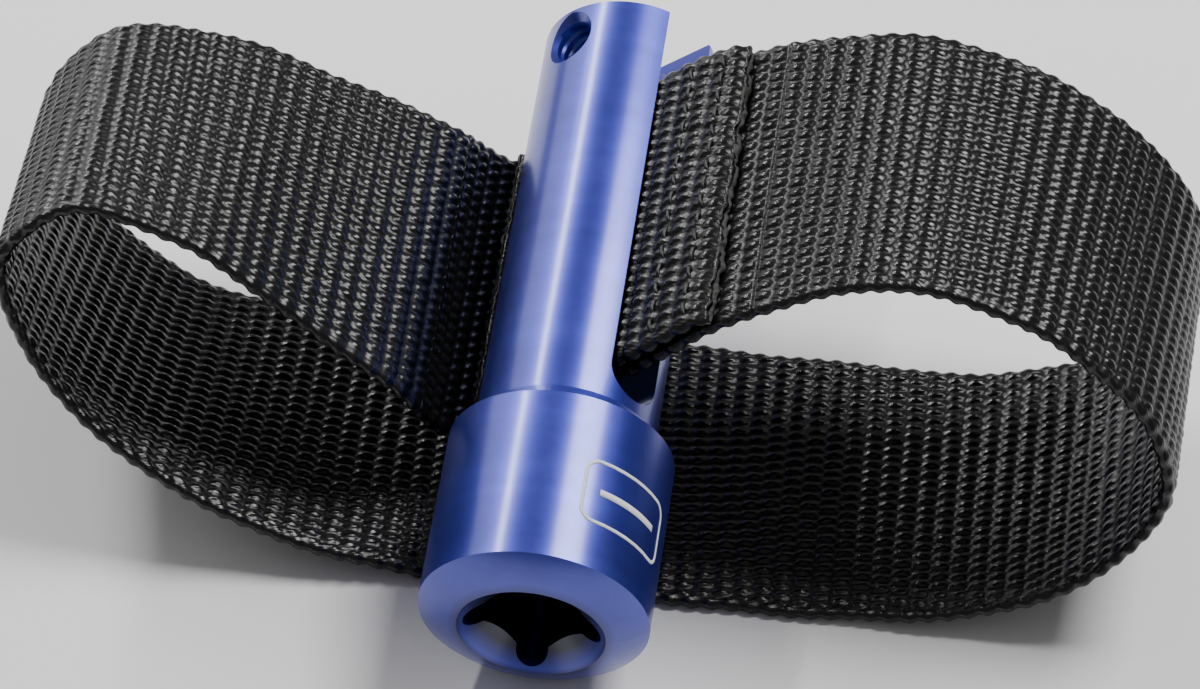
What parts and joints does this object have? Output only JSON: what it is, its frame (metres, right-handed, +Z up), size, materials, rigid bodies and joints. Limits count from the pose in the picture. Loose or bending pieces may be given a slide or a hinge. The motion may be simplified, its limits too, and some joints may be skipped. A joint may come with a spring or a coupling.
{
  "type": "oil filter strap wrench",
  "caption": "Strap wrench for oil filters: an anodised handle with a square drive socket and a long slot, and a closed loop of nylon webbing that passes through the slot.",
  "frame": {"origin": "centre of the square drive socket's mouth, on the drive face", "axes": "+X across the tool, +Z up as the tool lies on a bench, +Y along the bench from the drive face towards the tip; the handle's own axis is tipped up from +Y by 10 degrees"},
  "size_m": [0.1712, 0.104, 0.0567],
  "materials": {
    "anodised_blue": "blue anodised, turned, satin",
    "nylon_webbing": "black woven nylon webbing",
    "melted_nylon": "heat-sealed cut end",
    "thread": "black sewing thread"
  },
  "bodies": {
    "handle": {"wrench_body": "anodised_blue"},
    "splice": {"strap_in_slot": "nylon_webbing", "doubler_in_slot": "nylon_webbing", "strap_lead_right": "nylon_webbing", "strap_lead_left": "nylon_webbing", "doubler_flap_right": "nylon_webbing", "doubler_flap_left": "nylon_webbing", "melted_end_right": "melted_nylon", "melted_end_left": "melted_nylon", "stitch_row_outer": "thread", "stitch_row_inner": "thread", "stitch_row_left": "thread"},
    "loop": {"strap_lobe_right": "nylon_webbing", "strap_lower": "nylon_webbing", "strap_lobe_left": "nylon_webbing"}
  },
  "joints": [
    {"name": "strap_slide", "type": "slide", "parent": "handle", "child": "splice", "axis": [0, 0.9848, 0.1736], "range_m": [0, 0.065]},
    {"name": "strap_wind", "type": "hinge", "parent": "splice", "child": "loop", "pos_m": [0, 0, 0], "axis": [0, 0.9848, 0.1736], "range_deg": [-25, 25], "deforming": ["strap_lead_right", "strap_lead_left", "doubler_flap_right", "doubler_flap_left", "melted_end_right", "melted_end_left", "stitch_row_outer", "stitch_row_inner", "stitch_row_left"]}
  ]
}
